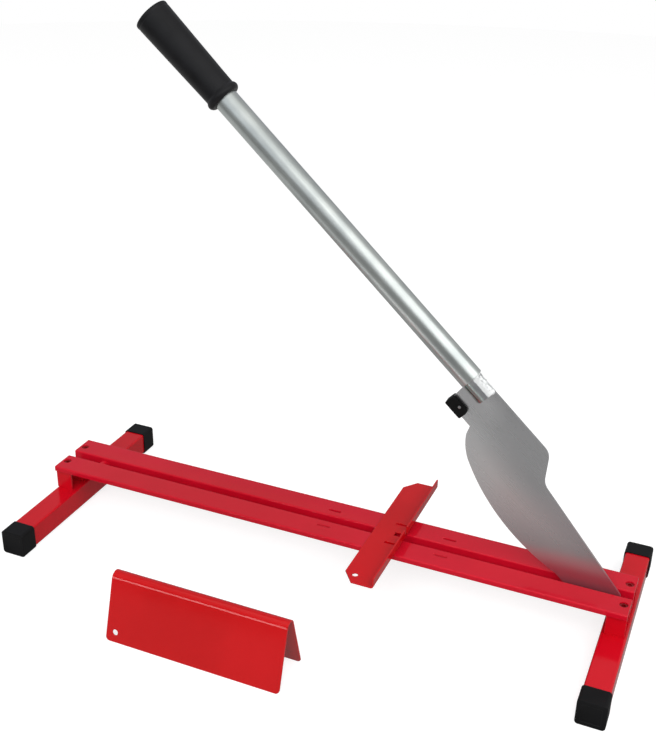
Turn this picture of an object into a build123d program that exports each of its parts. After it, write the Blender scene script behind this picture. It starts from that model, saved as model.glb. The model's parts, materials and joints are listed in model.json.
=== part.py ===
# Laminate flooring cutter: a hinged blade on a low stand, with a stop fence and a loose plank support.
# Millimetres. X runs along the rails towards the pivot, Y runs to the back, Z is up from the floor.
# The lever is modelled lying level with its pivot at the origin, then turned up to its resting angle.
import math
import os

from build123d import *

# Legs and foot caps
leg_side = 30.0
leg_wall = 2.0
leg_corner_inner = 0.5
leg_centre_x = 370.0
cap_wall = 1.5
cap_length = 25.0
cap_end = 2.5
cap_reach = 158.0
cap_round = 1.2

# Rails, with their overhang past the middle of each leg
rail_over_left = 15.0
rail_over_right = 12.0
rail_top = 65.0
rail_sheet = 3.0
rail_gap_half = 6.5
rail_width = 34.0
rail_depth = 24.0
rail_lip = 7.0
rail_bend_inner = 0.5
rail_bend_outer = 2.0

# Brackets under the rail ends
bracket_length = 23.0
bracket_sheet = 2.5
bracket_bend_inner = 1.5

# Screws and nuts at the rail ends
screw_inset = 7.5
screw_y = 21.0
screw_dia = 5.0
screw_head_dia = 10.4
screw_recess = 1.4
screw_length = 14.0
screw_socket = 4.0
screw_socket_depth = 2.0
nut_flats = 8.0
nut_height = 4.0

# Tie between the rails
tie_from_leg = 33.0
tie_clear = 2.0
tie_dia = 6.0
tie_sleeve_dia = 12.0
tie_head_flats = 10.0
tie_head_height = 4.0
tie_nut_height = 5.0
tie_overrun = 1.5

# Pivot
pivot_from_leg = 33.7
pivot_washer_clear = 1.0
pivot_dia = 8.0
pivot_running_fit = 0.05
pivot_washer_dia = 16.0
pivot_washer_thick = 1.6
pivot_head_flats = 13.0
pivot_head_height = 5.3
pivot_nut_height = 8.0
pivot_overrun = 2.0
blade_spacer_dia = 14.0
blade_side_gap = 0.2

# Lever, lying level with the pivot at the origin
rest_angle = 42.75
blade_thick = 3.0
lever_axis_z = 68.1
lever_tube_dia = 28.0
lever_tube_wall = 2.0
lever_tube_length = 530.6
lever_tube_gap = 1.4
stub_wall = 3.0
stub_insert = 57.6
stub_over_arm = 25.3

# Blade outline
arm_end = -286.0
arm_length = 41.1
arm_low_z = 26.4
arm_slant = 3.0
shoulder_x = -167.2
shoulder_round = 18.0
waist_x = -141.2
waist_z = 48.4
waist_round = 20.0
heel_radius = 18.0
heel_side_x = 20.0
heel_top_z = 27.4
heel_round = 5.0
heel_flat = 1.0

# Cutting edge, one long arc with a shorter arc up to the tip, ground to a bevel on the back
edge_centre_x = -110.5
edge_centre_z = 233.9
edge_radius = 260.6
edge_near_x = -45.4
edge_far_x = -215.4
tip_x = -240.5
tip_z = 16.4
tip_middle_x = -230.9
tip_middle_z = 5.9
bevel_width = 6.0
bevel_depth = 2.2
bevel_overcut = 10.0

# Hand grip
grip_cover = 118.0
grip_end_wall = 5.6
grip_flange_dia = 41.0
grip_flange_length = 9.0
grip_flange_slope = 1.5
grip_flange_nose = 3.0
grip_neck_dia = 37.0
grip_neck_length = 5.0
grip_mouth_dia = 36.0
grip_butt_dia = 42.0
grip_rim_dia = 42.4
grip_rim_length = 3.6
grip_rim_edge = 1.2
grip_groove_dia = 41.2
grip_groove_half = 1.2

# Bumper and its rivet
bumper_from_end = 1.2
bumper_length = 24.9
bumper_below = 1.6
bumper_height = 14.5
bumper_half_width = 7.0
bumper_round = 1.5
bumper_top_round = 4.5
rivet_from_end = 15.4
rivet_above = 9.4
rivet_dia = 2.4
rivet_head_dia = 3.8
rivet_head_height = 0.6

# Fence, with its stop face towards the pivot
fence_stop_x = 106.0
fence_width = 42.0
fence_front_reach = 113.0
fence_back_reach = 124.0
fence_sheet = 2.0
fence_lip_height = 14.0
fence_bend_inner = 2.0
fence_cut_x = 14.0
fence_cut_y = 18.0
fence_hole_dia = 7.0
fence_hole_from_left = 13.5
fence_hole_from_front = 15.5
fence_notch_depth = 15.0
fence_notch_clear = 2.5

# Tabs of the fence and the slots in the rails
tab_setback = 13.0
tab_y = 18.5
tab_length = 16.0
tab_drop = 4.0
tab_window = 4.0
slot_steps = [-90.0, 0.0, 63.0]
slot_clear = 0.5
slot_play = 1.4

# Plank support
support_x = -60.0
support_y = -219.0
support_length = 222.0
support_foot = 60.0
support_apex = 100.0
support_sheet = 2.0
support_bend_inner = 6.8
support_corner = 5.0
support_hole_dia = 7.0
support_hole_from_left = 11.5
support_hole_z = 11.5

# Values that follow
leg_corner = leg_corner_inner + leg_wall
cap_side = leg_side + 2 * cap_wall
leg_centre_z = cap_side / 2
leg_top = leg_centre_z + leg_side / 2
rail_left = -leg_centre_x - rail_over_left
rail_right = leg_centre_x + rail_over_right
rail_under = rail_top - rail_sheet
flange_outer = rail_gap_half + rail_sheet
rail_edge = rail_gap_half + rail_width
bracket_edge = rail_edge - rail_sheet
tie_x = -leg_centre_x + tie_from_leg
tie_z = rail_under - tie_head_flats / 2 - tie_clear
pivot_x = leg_centre_x - pivot_from_leg
pivot_z = rail_under - pivot_washer_dia / 2 - pivot_washer_clear
blade_half = blade_thick / 2
stub_dia = lever_tube_dia - 2 * lever_tube_wall
stub_near = arm_end + stub_over_arm
stub_inside = arm_end - lever_tube_gap - stub_insert
lever_tube_near = arm_end - lever_tube_gap
lever_tube_far = lever_tube_near - lever_tube_length
arm_top_z = lever_axis_z + stub_dia / 2
arm_slant_z = lever_axis_z - stub_dia / 2
bumper_far = arm_end + bumper_from_end
bumper_near = bumper_far + bumper_length
bumper_low_z = arm_low_z - bumper_below
bumper_high_z = bumper_low_z + bumper_height
rivet_x = arm_end + rivet_from_end
rivet_z = arm_low_z + rivet_above
fence_left = fence_stop_x - fence_width
fence_top = rail_top + fence_sheet
fence_lip_top = rail_top + fence_lip_height
tab_x = fence_stop_x - tab_setback


def block(x0, x1, y0, y1, z0, z1):
    size = Box(x1 - x0, y1 - y0, z1 - z0)
    return Pos((x0 + x1) / 2, (y0 + y1) / 2, (z0 + z1) / 2) * size


def rod_y(x, z, dia, y0, y1):
    return Pos(x, (y0 + y1) / 2, z) * Rot(90, 0, 0) * Cylinder(dia / 2, y1 - y0)


def rod_z(x, y, dia, z0, z1):
    return Pos(x, y, (z0 + z1) / 2) * Cylinder(dia / 2, z1 - z0)


def ring_y(x, z, outer, inner, y0, y1):
    return rod_y(x, z, outer, y0, y1) - rod_y(x, z, inner, y0, y1)


def hex_y(x, z, flats, y0, y1):
    outline = Plane.XZ * RegularPolygon(flats / 2, 6, major_radius=False)
    prism = extrude(outline, amount=y1 - y0, dir=(0, 1, 0))
    return Pos(x, y0, z) * prism


def hex_z(x, y, flats, z0, z1):
    prism = extrude(RegularPolygon(flats / 2, 6, major_radius=False), amount=z1 - z0)
    return Pos(x, y, z0) * prism


def turned_x(points):
    outline = make_face(Polyline(*points, close=True))
    return revolve(outline, Axis.X)


def make_leg(x):
    outer = RectangleRounded(leg_side, leg_side, leg_corner)
    inner_side = leg_side - 2 * leg_wall
    inner = RectangleRounded(inner_side, inner_side, leg_corner_inner)
    length = 2 * (cap_reach - cap_end)
    tube = extrude(Plane.XZ * (outer - inner), amount=length / 2, both=True)
    return Pos(x, 0, leg_centre_z) * tube


def make_foot_cap(x, side):
    outer = RectangleRounded(cap_side, cap_side, leg_corner + cap_wall)
    shell = extrude(Plane.XZ * outer, amount=cap_length, dir=(0, -1, 0))
    far_face = shell.faces().sort_by(Axis.Y)[0]
    shell = fillet(far_face.edges(), cap_round)
    cavity = RectangleRounded(leg_side, leg_side, leg_corner)
    shell -= extrude(Plane.XZ * cavity, amount=cap_length - cap_end, dir=(0, -1, 0))
    shell = Pos(0, cap_length - cap_reach, 0) * shell
    if side > 0:
        shell = Rot(0, 0, 180) * shell
    return Pos(x, 0, leg_centre_z) * shell


def screw_positions():
    for name, x in (("left", rail_left + screw_inset), ("right", rail_right - screw_inset)):
        for row, y in (("front", -screw_y), ("back", screw_y)):
            yield row + "_" + name, x, y


def make_screw(x, y):
    top = rail_top - screw_recess
    head_depth = (screw_head_dia - screw_dia) / 2
    half = make_face(Polyline(
        (0, 0, top),
        (screw_head_dia / 2, 0, top),
        (screw_dia / 2, 0, top - head_depth),
        (screw_dia / 2, 0, top - screw_length),
        (0, 0, top - screw_length),
        close=True,
    ))
    body = Pos(x, y, 0) * revolve(half, Axis.Z)
    return body - hex_z(x, y, screw_socket, top - screw_socket_depth, top)


def screw_hole(x, y):
    top = rail_top - screw_recess
    head_depth = (screw_head_dia - screw_dia) / 2
    half = make_face(Polyline(
        (0, 0, rail_top),
        (screw_head_dia / 2, 0, rail_top),
        (screw_head_dia / 2, 0, top),
        (screw_dia / 2, 0, top - head_depth),
        (screw_dia / 2, 0, leg_top),
        (0, 0, leg_top),
        close=True,
    ))
    return Pos(x, y, 0) * revolve(half, Axis.Z)


def make_rail(side):
    inner = rail_gap_half
    profile = make_face(Polyline(
        (0, inner, rail_top),
        (0, rail_edge, rail_top),
        (0, rail_edge, rail_top - rail_lip),
        (0, bracket_edge, rail_top - rail_lip),
        (0, bracket_edge, rail_under),
        (0, flange_outer, rail_under),
        (0, flange_outer, rail_top - rail_depth),
        (0, inner, rail_top - rail_depth),
        close=True,
    ))
    bar = Pos(rail_left, 0, 0) * extrude(profile, amount=rail_right - rail_left, dir=(1, 0, 0))
    for y, z, bend in (
        (inner, rail_top, rail_bend_outer), (rail_edge, rail_top, rail_bend_outer),
        (flange_outer, rail_under, rail_bend_inner), (bracket_edge, rail_under, rail_bend_inner),
    ):
        bar = fillet(bar.edges().filter_by(Axis.X).sort_by_distance((0, y, z))[0], bend)
    slot = SlotOverall(tab_length + 2 * slot_clear, fence_sheet + slot_play)
    for step in slot_steps:
        bar -= Pos(tab_x + step, tab_y, rail_under) * extrude(slot, amount=rail_sheet)
    for name, x, y in screw_positions():
        if y > 0:
            bar -= screw_hole(x, y)
    bar -= rod_y(pivot_x, pivot_z, pivot_dia, inner, flange_outer)
    bar -= rod_y(tie_x, tie_z, tie_dia, inner, flange_outer)
    if side < 0:
        bar = mirror(bar, about=Plane.XZ)
    return bar


def make_bracket(x0, side):
    x1 = x0 + bracket_length
    outer = block(x0, x1, flange_outer, bracket_edge, leg_top, rail_under)
    top_edges = outer.edges().filter_by(Axis.X).group_by(Axis.Z)[-1]
    outer = fillet(top_edges, bracket_bend_inner + bracket_sheet)
    inner = block(
        x0, x1,
        flange_outer + bracket_sheet, bracket_edge - bracket_sheet,
        leg_top, rail_under - bracket_sheet,
    )
    roof_edges = inner.edges().filter_by(Axis.X).group_by(Axis.Z)[-1]
    inner = fillet(roof_edges, bracket_bend_inner)
    shape = outer - inner
    for name, x, y in screw_positions():
        if y > 0 and x0 < x < x1:
            shape -= screw_hole(x, y)
    if side < 0:
        shape = mirror(shape, about=Plane.XZ)
    return shape


def make_screw_nut(x, y):
    top = rail_under - bracket_sheet
    return hex_z(x, y, nut_flats, top - nut_height, top) - rod_z(x, y, screw_dia, top - nut_height, top)


def edge_point(x):
    drop = math.sqrt(edge_radius**2 - (x - edge_centre_x)**2)
    return (x, 0, edge_centre_z - drop)


def bevel_cutter():
    slope = bevel_depth / bevel_width
    top = blade_half + bevel_overcut * slope
    inner = edge_radius - bevel_width - bevel_overcut
    outer = edge_radius + bevel_overcut
    low = top - (outer - inner) * slope
    wedge = make_face(Polyline((inner, top), (outer, top), (outer, low), close=True))
    cone = Pos(edge_centre_x, 0, edge_centre_z) * revolve(wedge, Axis.Y)
    reach = block(
        tip_x, edge_near_x,
        low - bevel_overcut, top + bevel_overcut,
        edge_centre_z - outer - bevel_overcut, arm_low_z,
    )
    return cone & reach


def make_blade():
    back = Polyline(
        (0, 0, -heel_radius),
        (heel_side_x, 0, -heel_radius),
        (heel_side_x, 0, heel_top_z),
        (waist_x, 0, waist_z),
        (shoulder_x, 0, arm_top_z),
        (arm_end, 0, arm_top_z),
        (arm_end, 0, arm_slant_z),
        (arm_end + arm_slant, 0, arm_low_z),
        (arm_end + arm_length, 0, arm_low_z),
        (tip_x, 0, tip_z),
    )
    tip = ThreePointArc((tip_x, 0, tip_z), (tip_middle_x, 0, tip_middle_z), edge_point(edge_far_x))
    middle = (edge_near_x + edge_far_x) / 2
    edge = ThreePointArc(edge_point(edge_far_x), edge_point(middle), edge_point(edge_near_x))
    root = Line(edge_point(edge_near_x), (0, 0, -heel_radius))
    outline = make_face([*back.edges(), tip, edge, root])
    plate = extrude(outline, amount=blade_half, dir=(0, 1, 0), both=True)

    def corner(shape, x, z):
        return shape.edges().filter_by(Axis.Y).sort_by_distance((x, 0, z))[0]

    plate = fillet(corner(plate, heel_side_x, -heel_radius), min(heel_radius, heel_side_x) - heel_flat)
    plate = fillet(corner(plate, heel_side_x, heel_top_z), heel_round)
    plate = fillet(corner(plate, waist_x, waist_z), waist_round)
    plate = fillet(corner(plate, shoulder_x, arm_top_z), shoulder_round)
    plate -= bevel_cutter()
    plate -= rod_y(0, 0, pivot_dia + 2 * pivot_running_fit, -blade_half, blade_half)
    plate -= rod_y(rivet_x, rivet_z, rivet_dia, -blade_half, blade_half)
    return plate


def make_stub():
    length = stub_near - stub_inside
    tube = Cylinder(stub_dia / 2, length) - Cylinder(stub_dia / 2 - stub_wall, length)
    tube = Pos((stub_near + stub_inside) / 2, 0, lever_axis_z) * Rot(0, 90, 0) * tube
    return tube - block(arm_end, stub_near, -blade_half, blade_half, arm_low_z, arm_top_z + 1)


def make_lever_tube():
    length = lever_tube_near - lever_tube_far
    tube = Cylinder(lever_tube_dia / 2, length) - Cylinder(stub_dia / 2, length)
    return Pos((lever_tube_near + lever_tube_far) / 2, 0, lever_axis_z) * Rot(0, 90, 0) * tube


def make_grip():
    end = lever_tube_far - grip_end_wall
    rim = end + grip_rim_length
    mouth = lever_tube_far + grip_cover
    flange = mouth - grip_flange_length
    shape = turned_x([
        (end, 0, 0),
        (end, grip_rim_dia / 2 - grip_rim_edge, 0),
        (end + grip_rim_edge, grip_rim_dia / 2, 0),
        (rim, grip_rim_dia / 2, 0),
        (rim + grip_groove_half, grip_groove_dia / 2, 0),
        (rim + 2 * grip_groove_half, grip_butt_dia / 2, 0),
        (flange - grip_neck_length, grip_neck_dia / 2, 0),
        (flange, grip_neck_dia / 2, 0),
        (flange + grip_flange_slope, grip_flange_dia / 2, 0),
        (mouth - grip_flange_nose, grip_flange_dia / 2, 0),
        (mouth, grip_mouth_dia / 2, 0),
        (mouth, lever_tube_dia / 2, 0),
        (lever_tube_far, lever_tube_dia / 2, 0),
        (lever_tube_far, 0, 0),
    ])
    return Pos(0, 0, lever_axis_z) * shape


def make_bumper():
    shape = block(
        bumper_far, bumper_near,
        -bumper_half_width, bumper_half_width,
        bumper_low_z, bumper_high_z,
    )
    low = shape.edges().filter_by(Axis.Y).group_by(Axis.Z)[0]
    shape = fillet(low, bumper_round)
    high = shape.edges().filter_by(Axis.Y).group_by(Axis.Z)[-1]
    shape = fillet(high, bumper_top_round)
    rims = shape.faces().sort_by(Axis.Y)
    shape = fillet(rims[0].edges() + rims[-1].edges(), bumper_round)
    arm = make_face(Polyline(
        (arm_end, 0, arm_slant_z),
        (arm_end + arm_slant, 0, arm_low_z),
        (bumper_near + 1, 0, arm_low_z),
        (bumper_near + 1, 0, arm_slant_z),
        close=True,
    ))
    shape -= extrude(arm, amount=blade_half, dir=(0, 1, 0), both=True)
    return shape - rod_y(rivet_x, rivet_z, rivet_dia, -bumper_half_width, bumper_half_width)


def make_rivet():
    shape = rod_y(rivet_x, rivet_z, rivet_dia, -bumper_half_width, bumper_half_width)
    for y0 in (-bumper_half_width - rivet_head_height, bumper_half_width):
        shape += rod_y(rivet_x, rivet_z, rivet_head_dia, y0, y0 + rivet_head_height)
    return shape


def make_fence():
    profile = make_face(Polyline(
        (fence_left, 0, rail_top),
        (fence_stop_x, 0, rail_top),
        (fence_stop_x, 0, fence_lip_top),
        (fence_stop_x - fence_sheet, 0, fence_lip_top),
        (fence_stop_x - fence_sheet, 0, fence_top),
        (fence_left, 0, fence_top),
        close=True,
    ))
    length = fence_front_reach + fence_back_reach
    plate = Pos(0, -fence_front_reach, 0) * extrude(profile, amount=length, dir=(0, 1, 0))
    outside = (fence_stop_x, 0, rail_top)
    inside = (fence_stop_x - fence_sheet, 0, fence_top)
    for place, bend in ((outside, fence_bend_inner + fence_sheet), (inside, fence_bend_inner)):
        plate = fillet(plate.edges().filter_by(Axis.Y).sort_by_distance(place)[0], bend)
    for y, sign in ((-fence_front_reach, 1), (fence_back_reach, -1)):
        cut = make_face(Polyline(
            (fence_left, y, rail_top),
            (fence_left + fence_cut_x, y, rail_top),
            (fence_left, y + sign * fence_cut_y, rail_top),
            close=True,
        ))
        plate -= extrude(cut, amount=fence_sheet, dir=(0, 0, 1))
    hole_x = fence_left + fence_hole_from_left
    hole_y = -fence_front_reach + fence_hole_from_front
    plate -= rod_z(hole_x, hole_y, fence_hole_dia, rail_top, fence_top)
    notch_half = blade_half + fence_notch_clear
    plate -= block(
        fence_stop_x - fence_notch_depth, fence_stop_x,
        -notch_half, notch_half,
        rail_top, fence_lip_top,
    )
    tab_left = tab_x - tab_length / 2
    tab_right = tab_x + tab_length / 2
    tab_inner = tab_y - fence_sheet / 2
    tab_outer = tab_y + fence_sheet / 2
    for side in (-1, 1):
        window = block(tab_left, tab_right, tab_outer, tab_outer + tab_window, rail_top, fence_top)
        tab = block(tab_left, tab_right, tab_inner, tab_outer, rail_top - tab_drop, rail_top)
        if side < 0:
            window = mirror(window, about=Plane.XZ)
            tab = mirror(tab, about=Plane.XZ)
        plate = plate - window + tab
    return plate


def make_support():
    lean = math.atan2(support_foot / 2, support_apex)
    inner_half = support_foot / 2 - support_sheet / math.cos(lean)
    inner_apex = support_apex * inner_half / (support_foot / 2)

    def wedge(half, apex, bend):
        outline = make_face(Polyline((0, -half, 0), (0, 0, apex), (0, half, 0), close=True))
        solid = extrude(outline, amount=support_length, dir=(1, 0, 0))
        ridge = solid.edges().filter_by(Axis.X).sort_by(Axis.Z)[-1]
        return fillet(ridge, bend)

    sheet = wedge(support_foot / 2, support_apex, support_bend_inner + support_sheet)
    sheet -= wedge(inner_half, inner_apex, support_bend_inner)
    foot_ends = sheet.edges().filter_by(Axis.Y).group_by(Axis.Z)[0]
    sheet = fillet(foot_ends, support_corner)
    hole_y = -support_foot / 2 * (1 - support_hole_z / support_apex)
    hole_turn = Rot(90 - math.degrees(lean), 0, 0)
    hole = hole_turn * Cylinder(support_hole_dia / 2, 6 * support_sheet)
    sheet -= Pos(support_hole_from_left, hole_y, support_hole_z) * hole
    return Pos(support_x - support_length / 2, support_y, 0) * sheet


parts = {}

# Stand
for name, x in (("left", -leg_centre_x), ("right", leg_centre_x)):
    parts[name + "_leg"] = make_leg(x)
    parts["foot_cap_front_" + name] = make_foot_cap(x, -1)
    parts["foot_cap_back_" + name] = make_foot_cap(x, 1)
for row, side in (("front", -1), ("back", 1)):
    parts[row + "_rail"] = make_rail(side)
    parts["bracket_" + row + "_left"] = make_bracket(rail_left, side)
    parts["bracket_" + row + "_right"] = make_bracket(rail_right - bracket_length, side)
for name, x, y in screw_positions():
    parts["rail_screw_" + name] = make_screw(x, y)
    parts["rail_nut_" + name] = make_screw_nut(x, y)

# Tie between the rails
tie_front = -flange_outer - tie_head_height
tie_back = flange_outer + tie_nut_height + tie_overrun
parts["tie_sleeve"] = ring_y(tie_x, tie_z, tie_sleeve_dia, tie_dia, -rail_gap_half, rail_gap_half)
parts["tie_bolt"] = (
    hex_y(tie_x, tie_z, tie_head_flats, tie_front, -flange_outer)
    + rod_y(tie_x, tie_z, tie_dia, -flange_outer, tie_back)
)
parts["tie_nut"] = (
    hex_y(tie_x, tie_z, tie_head_flats, flange_outer, flange_outer + tie_nut_height)
    - rod_y(tie_x, tie_z, tie_dia, flange_outer, flange_outer + tie_nut_height)
)

# Pivot
washer_out = flange_outer + pivot_washer_thick
pivot_nut_end = washer_out + pivot_nut_height
parts["pivot_bolt"] = (
    hex_y(pivot_x, pivot_z, pivot_head_flats, -washer_out - pivot_head_height, -washer_out)
    + rod_y(pivot_x, pivot_z, pivot_dia, -washer_out, pivot_nut_end + pivot_overrun)
)
parts["pivot_nut"] = (
    hex_y(pivot_x, pivot_z, pivot_head_flats, washer_out, pivot_nut_end)
    - rod_y(pivot_x, pivot_z, pivot_dia, washer_out, pivot_nut_end)
)
parts["pivot_washer_front"] = ring_y(
    pivot_x, pivot_z, pivot_washer_dia, pivot_dia, -washer_out, -flange_outer)
parts["pivot_washer_back"] = ring_y(
    pivot_x, pivot_z, pivot_washer_dia, pivot_dia, flange_outer, washer_out)
spacer_in = blade_half + blade_side_gap
parts["blade_spacer_front"] = ring_y(
    pivot_x, pivot_z, blade_spacer_dia, pivot_dia, -rail_gap_half, -spacer_in)
parts["blade_spacer_back"] = ring_y(
    pivot_x, pivot_z, blade_spacer_dia, pivot_dia, spacer_in, rail_gap_half)

# Lever
lever_pose = Pos(pivot_x, 0, pivot_z) * Rot(0, rest_angle, 0)
parts["blade"] = lever_pose * make_blade()
parts["stub_tube"] = lever_pose * make_stub()
parts["lever_tube"] = lever_pose * make_lever_tube()
parts["hand_grip"] = lever_pose * make_grip()
parts["bumper"] = lever_pose * make_bumper()
parts["bumper_rivet"] = lever_pose * make_rivet()

# Loose pieces
parts["fence"] = make_fence()
parts["plank_support"] = make_support()

os.makedirs("parts", exist_ok=True)
for name, shape in parts.items():
    export_step(shape, "parts/" + name + ".step")
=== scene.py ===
import json
import math

import bmesh
import bpy
from mathutils import Matrix, Vector, noise


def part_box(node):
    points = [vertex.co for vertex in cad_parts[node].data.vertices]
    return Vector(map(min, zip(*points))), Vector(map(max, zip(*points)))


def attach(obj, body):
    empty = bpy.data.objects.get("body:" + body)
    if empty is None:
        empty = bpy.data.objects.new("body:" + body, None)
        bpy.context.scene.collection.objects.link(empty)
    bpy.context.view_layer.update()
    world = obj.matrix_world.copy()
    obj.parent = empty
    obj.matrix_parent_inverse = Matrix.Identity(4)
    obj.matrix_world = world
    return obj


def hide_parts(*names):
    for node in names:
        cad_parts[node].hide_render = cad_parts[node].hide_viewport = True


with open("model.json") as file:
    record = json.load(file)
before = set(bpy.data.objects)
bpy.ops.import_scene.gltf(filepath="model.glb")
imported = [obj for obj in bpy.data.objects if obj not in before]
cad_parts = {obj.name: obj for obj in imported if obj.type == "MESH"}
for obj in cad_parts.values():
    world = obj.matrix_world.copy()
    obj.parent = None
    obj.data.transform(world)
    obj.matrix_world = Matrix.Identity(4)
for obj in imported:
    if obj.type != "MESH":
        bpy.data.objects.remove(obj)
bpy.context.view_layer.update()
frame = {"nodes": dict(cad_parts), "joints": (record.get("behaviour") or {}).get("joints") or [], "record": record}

# Laminate flooring cutter: red sheet metal stand, zinc coated lever, satin steel blade.
# Sizes are in millimetres and become metres through mm.
mm = 0.001
nodes = frame["nodes"]
scene = bpy.context.scene
bodyOf = {}
for body, members in frame["record"]["behaviour"]["bodies"].items():
    for member in members:
        bodyOf[member] = body
hinge = next(joint for joint in frame["joints"] if joint["name"] == "blade_swing")
pivotPoint = Vector(hinge["pos_m"])
print("frame loaded:", len(nodes), "nodes")


lever = {
    "restAngle": 42.75,  # how far the lever stands above level at rest
    "axisZ": 68.1,       # height of the tube's axis over the pivot, with the lever level
    "armEnd": -286.0,    # tip end of the blade's arm
    "bladeHalf": 1.5,
}
leverPlace = Matrix.Translation(pivotPoint) @ Matrix.Rotation(math.radians(lever["restAngle"]), 4, "Y")
axisPlace = leverPlace @ Matrix.Translation((0, 0, lever["axisZ"] * mm))
leverTurn = (0, math.radians(lever["restAngle"]), 0)


# Shader helpers
def newMaterial(name):
    material = bpy.data.materials.new(name)
    material.use_nodes = True
    tree = material.node_tree
    return material, tree, tree.nodes["Principled BSDF"]


def newGroup(name, inputs, outputs):
    group = bpy.data.node_groups.new(name, "ShaderNodeTree")
    for socketName, kind, value in inputs:
        socket = group.interface.new_socket(socketName, in_out="INPUT", socket_type=kind)
        if value is not None:
            socket.default_value = value
    for socketName in outputs:
        group.interface.new_socket(socketName, in_out="OUTPUT", socket_type="NodeSocketFloat")
    return group, group.nodes.new("NodeGroupInput"), group.nodes.new("NodeGroupOutput")


def placeGroup(tree, group, vector=None, **values):
    node = tree.nodes.new("ShaderNodeGroup")
    node.node_tree = group
    for socketName, value in values.items():
        node.inputs[socketName].default_value = value
    if vector is not None:
        tree.links.new(vector, node.inputs["Vector"])
    return node


def objectSpace(tree, turn=(0, 0, 0), stretch=(1, 1, 1), centre=(0, 0, 0)):
    coords = tree.nodes.new("ShaderNodeTexCoord")
    mapping = tree.nodes.new("ShaderNodeMapping")
    mapping.vector_type = "TEXTURE"  # turns first, then stretches
    mapping.inputs["Location"].default_value = centre
    mapping.inputs["Rotation"].default_value = turn
    mapping.inputs["Scale"].default_value = stretch
    tree.links.new(coords.outputs["Object"], mapping.inputs["Vector"])
    return mapping.outputs["Vector"]


def mixColour(tree, factor, first, second):
    mix = tree.nodes.new("ShaderNodeMix")
    mix.data_type = "RGBA"
    tree.links.new(factor, mix.inputs[0])
    for socket, colour in ((mix.inputs[6], first), (mix.inputs[7], second)):  # its colour sockets A and B
        if isinstance(colour, bpy.types.NodeSocket):
            tree.links.new(colour, socket)
        else:
            socket.default_value = (*colour, 1)
    return mix.outputs[2]


def spread(tree, value, low, high, start=0.0, end=1.0):
    scale = tree.nodes.new("ShaderNodeMapRange")
    scale.interpolation_type = "SMOOTHSTEP" if (start, end) != (0.0, 1.0) else "LINEAR"
    scale.inputs["From Min"].default_value = start
    scale.inputs["From Max"].default_value = end
    scale.inputs["To Min"].default_value = low
    scale.inputs["To Max"].default_value = high
    tree.links.new(value, scale.inputs["Value"])
    return scale.outputs["Result"]


def alongWay(tree, vector, way):
    dot = tree.nodes.new("ShaderNodeVectorMath")
    dot.operation = "DOT_PRODUCT"
    dot.inputs[1].default_value = way
    tree.links.new(vector, dot.inputs[0])
    return dot.outputs["Value"]


def addUp(tree, first, second, share=1.0):
    total = tree.nodes.new("ShaderNodeMath")
    total.operation = "MULTIPLY_ADD"
    total.inputs[1].default_value = share
    tree.links.new(second, total.inputs[0])
    tree.links.new(first, total.inputs[2])
    return total.outputs[0]


def bumpFrom(tree, height, depth):
    bump = tree.nodes.new("ShaderNodeBump")
    bump.inputs["Distance"].default_value = depth * mm
    bump.inputs["Strength"].default_value = 1.0
    tree.links.new(height, bump.inputs["Height"])
    return bump.outputs["Normal"]


# Shared effects: clouding, which also makes drawn lines, pebbled skin and thin coat on edges
effects = {
    "cloudDetail": 5,
    "cloudRoughness": 0.55,
    "pebbleDetail": 2,
    "edgeSamples": 4,
    "edgeTurn": (0.995, 0.88),  # cosine of the turn that an edge gives the normal
    "edgePatches": (0.4, 0.62),
}


def buildCloud():
    group, come, go = newGroup("cloud", [
        ("Vector", "NodeSocketVector", None),
        ("Scale", "NodeSocketFloat", 10.0),
        ("Low", "NodeSocketFloat", 0.35),
        ("High", "NodeSocketFloat", 0.65),
    ], ["Mask"])
    puffs = group.nodes.new("ShaderNodeTexNoise")
    puffs.inputs["Detail"].default_value = effects["cloudDetail"]
    puffs.inputs["Roughness"].default_value = effects["cloudRoughness"]
    level = group.nodes.new("ShaderNodeMapRange")
    level.interpolation_type = "SMOOTHSTEP"
    group.links.new(come.outputs["Vector"], puffs.inputs["Vector"])
    group.links.new(come.outputs["Scale"], puffs.inputs["Scale"])
    group.links.new(puffs.outputs["Fac"], level.inputs["Value"])
    group.links.new(come.outputs["Low"], level.inputs["From Min"])
    group.links.new(come.outputs["High"], level.inputs["From Max"])
    group.links.new(level.outputs["Result"], go.inputs["Mask"])
    return group


def buildPebble():
    group, come, go = newGroup("pebble", [
        ("Vector", "NodeSocketVector", None),
        ("Scale", "NodeSocketFloat", 500.0),
        ("Coarse", "NodeSocketFloat", 0.5),
    ], ["Height"])
    grit = group.nodes.new("ShaderNodeTexNoise")
    grit.inputs["Detail"].default_value = effects["pebbleDetail"]
    cells = group.nodes.new("ShaderNodeTexVoronoi")
    cells.feature = "SMOOTH_F1"
    blendNode = group.nodes.new("ShaderNodeMix")
    for pattern in (grit, cells):
        group.links.new(come.outputs["Vector"], pattern.inputs["Vector"])
        group.links.new(come.outputs["Scale"], pattern.inputs["Scale"])
    group.links.new(come.outputs["Coarse"], blendNode.inputs[0])
    group.links.new(grit.outputs["Fac"], blendNode.inputs[2])
    group.links.new(cells.outputs["Distance"], blendNode.inputs[3])
    group.links.new(blendNode.outputs[0], go.inputs["Height"])
    return group


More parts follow.
